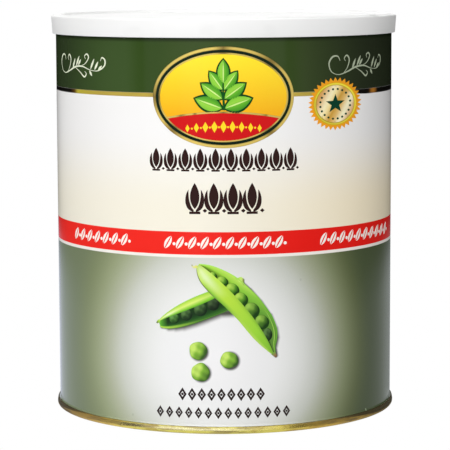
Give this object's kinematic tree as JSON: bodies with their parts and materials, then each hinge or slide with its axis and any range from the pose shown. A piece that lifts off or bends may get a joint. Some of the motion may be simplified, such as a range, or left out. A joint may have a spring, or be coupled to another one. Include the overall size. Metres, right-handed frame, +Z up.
{
  "type": "can of freeze-dried peas",
  "caption": "Large round shut tinplate food can with printed peas and pods, a gold bottom seam and a white press-on plastic overcap.",
  "frame": {"origin": "middle of the can's foot, on the surface that it stands on", "axes": "+Z up along the can's axis, the front of the label faces -Y, +X to the right of someone looking at the label"},
  "size_m": [0.159, 0.159, 0.1811],
  "materials": {
    "printed_tinplate": "glossy lithographed print with metallic gold lines",
    "gold_lacquered_tinplate": "bright gold lacquer, a little scuffed",
    "white_plastic": "smooth satin white"
  },
  "bodies": {
    "root": {"can_body": "printed_tinplate", "bottom_end": "gold_lacquered_tinplate", "overcap": "white_plastic"}
  },
  "joints": []
}
